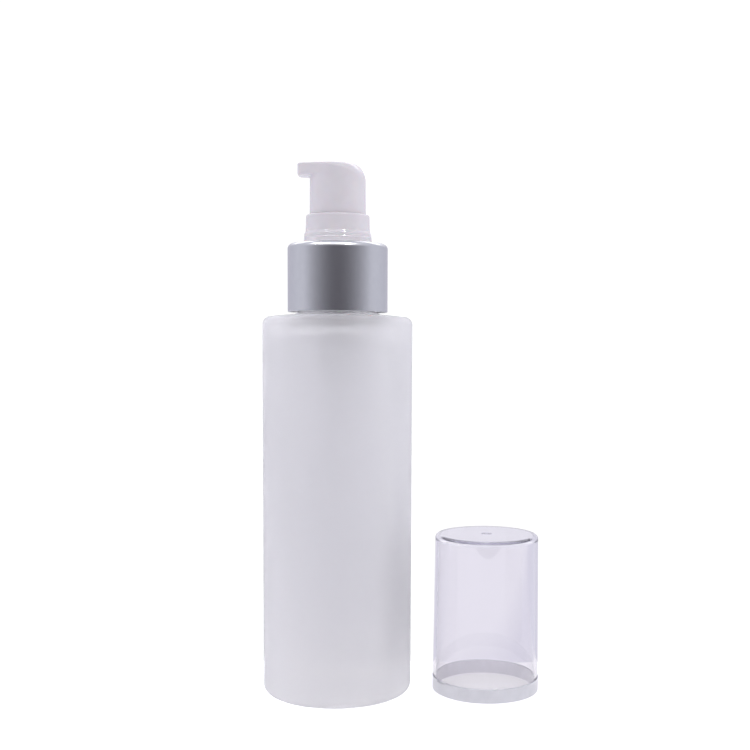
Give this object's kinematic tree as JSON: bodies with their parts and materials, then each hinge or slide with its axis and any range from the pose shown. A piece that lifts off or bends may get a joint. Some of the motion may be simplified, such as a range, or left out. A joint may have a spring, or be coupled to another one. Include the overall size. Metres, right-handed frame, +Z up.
{
  "type": "foundation bottle with treatment pump",
  "caption": "Round frosted glass bottle for liquid foundation, with a screw-on press pump in a satin aluminium collar and a clear overcap standing beside it.",
  "frame": {"origin": "centre of the glass bottle's base, in the plane it stands on", "axes": "+Z up along the bottle's axis, -X the way the spout points, +X towards the overcap standing beside the bottle"},
  "size_m": [0.0694, 0.037, 0.131],
  "materials": {
    "frosted_glass": "acid-frosted outside, pale grey-lilac, translucent",
    "white_plastic": "glossy moulded polypropylene, white",
    "satin_aluminium": "satin silver anodised",
    "gasket_foam": "matt foamed polyethylene, white",
    "natural_plastic": "unpigmented polyethylene and polypropylene",
    "spring_steel": "drawn stainless wire",
    "ball_glass": "polished",
    "clear_plastic": "polished clear styrene acrylic",
    "mirror_silver": "bright metallised silver"
  },
  "bodies": {
    "bottle": {"glass_bottle": "frosted_glass"},
    "pump_engine": {"pump_housing": "natural_plastic", "housing_retainer": "white_plastic", "neck_gasket": "gasket_foam", "dip_tube": "natural_plastic", "return_spring": "spring_steel"},
    "closure": {"screw_closure": "white_plastic", "collar_shell": "satin_aluminium"},
    "plunger": {"pump_stem": "white_plastic", "stem_plug": "natural_plastic"},
    "piston_ring": {"piston": "natural_plastic"},
    "suction_ball": {"check_ball": "ball_glass"},
    "actuator": {"actuator_head": "white_plastic"},
    "overcap": {"overcap_shell": "clear_plastic", "overcap_band": "mirror_silver"}
  },
  "joints": [
    {"name": "pump_lift", "type": "slide", "parent": "bottle", "child": "pump_engine", "axis": [0, 0, 1], "range_m": [0, 0.0048]},
    {"name": "closure_turn", "type": "hinge", "parent": "pump_engine", "child": "closure", "pos_m": [0, 0, 0.1], "axis": [0, 0, 1], "range_deg": [0, 540]},
    {"name": "actuator_press", "type": "slide", "parent": "pump_engine", "child": "plunger", "axis": [0, 0, -1], "range_m": [0, 0.0045], "stiffness_N_per_m": 1500, "springref_m": -0.003, "deforming": ["return_spring"]},
    {"name": "piston_lag", "type": "slide", "parent": "plunger", "child": "piston_ring", "axis": [0, 0, 1], "range_m": [0, 0.0006]},
    {"name": "ball_lift", "type": "slide", "parent": "pump_engine", "child": "suction_ball", "axis": [0, 0, 1], "range_m": [0, 0.0008]},
    {"name": "actuator_turn", "type": "hinge", "parent": "plunger", "child": "actuator", "pos_m": [0, 0, 0.12], "axis": [0, 0, 1], "continuous": true},
    {"name": "overcap_lift", "type": "slide", "parent": "bottle", "child": "overcap", "axis": [0, 0, 1], "range_m": [0, 0.04]}
  ],
  "couplings": [
    {"joint": "pump_lift", "follows": "closure_turn", "m_per_rad": 0.00050611}
  ]
}
